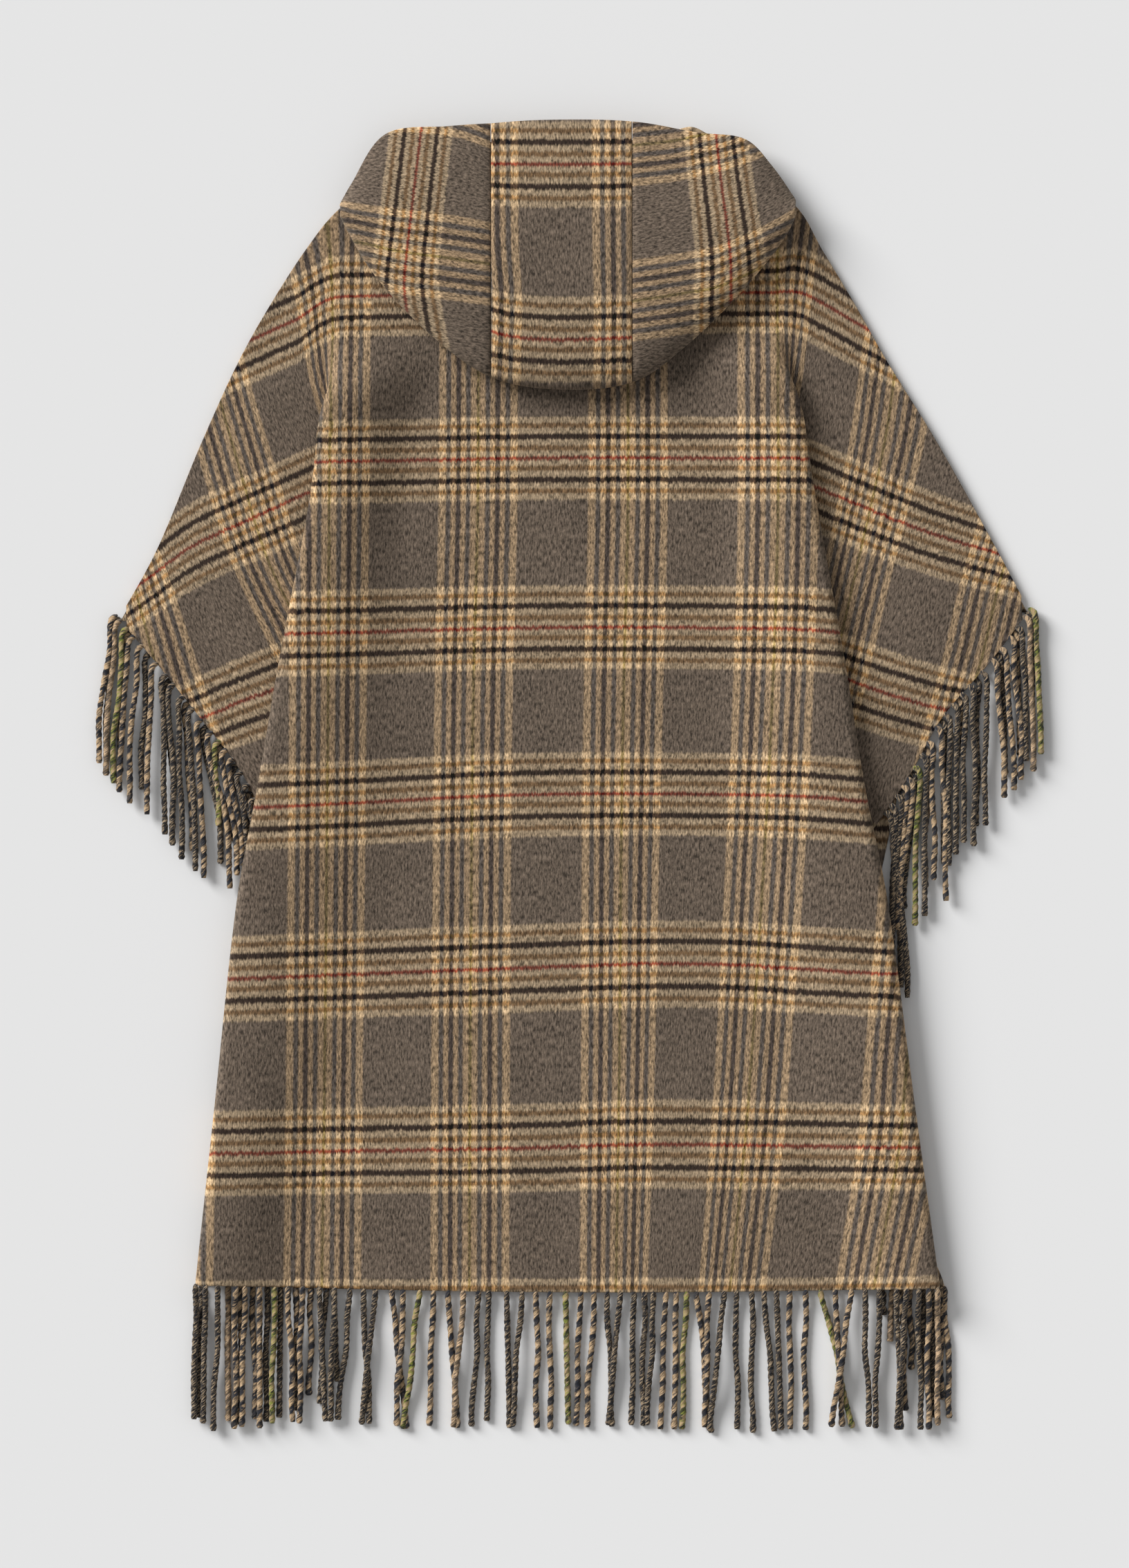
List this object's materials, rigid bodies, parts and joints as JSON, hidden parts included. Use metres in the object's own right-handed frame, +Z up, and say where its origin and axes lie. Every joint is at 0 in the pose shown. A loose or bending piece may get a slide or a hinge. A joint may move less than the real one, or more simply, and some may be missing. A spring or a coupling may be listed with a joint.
{
  "type": "hooded cape",
  "caption": "Hooded open-front wool cape with wide wings and a twisted fringe at hem and wing edges, laid flat with its back up and its hood spread on the back.",
  "frame": {"origin": "centre of the base of the cape's box, on the surface that it lies on", "axes": "+Z up off the surface, +Y toward the hood, +X to the right seen from above with the hood away from the viewer"},
  "size_m": [0.8085, 1.1343, 0.0385],
  "materials": {
    "wool_plaid": "brushed double-face wool in a brown-grey, tan, black and red plaid",
    "fringe_yarn": "twisted two-ply wool yarn, charcoal and tan"
  },
  "bodies": {
    "root": {"back": "wool_plaid", "front_left": "wool_plaid", "front_right": "wool_plaid", "hood_side_left": "wool_plaid", "hood_strip": "wool_plaid", "hood_side_right": "wool_plaid", "hood_nape": "wool_plaid", "fringe_hem_back": "fringe_yarn", "fringe_hem_front_left": "fringe_yarn", "fringe_hem_front_right": "fringe_yarn", "fringe_wing_back_left": "fringe_yarn", "fringe_wing_back_right": "fringe_yarn", "fringe_wing_front_left": "fringe_yarn", "fringe_wing_front_right": "fringe_yarn"}
  },
  "joints": []
}
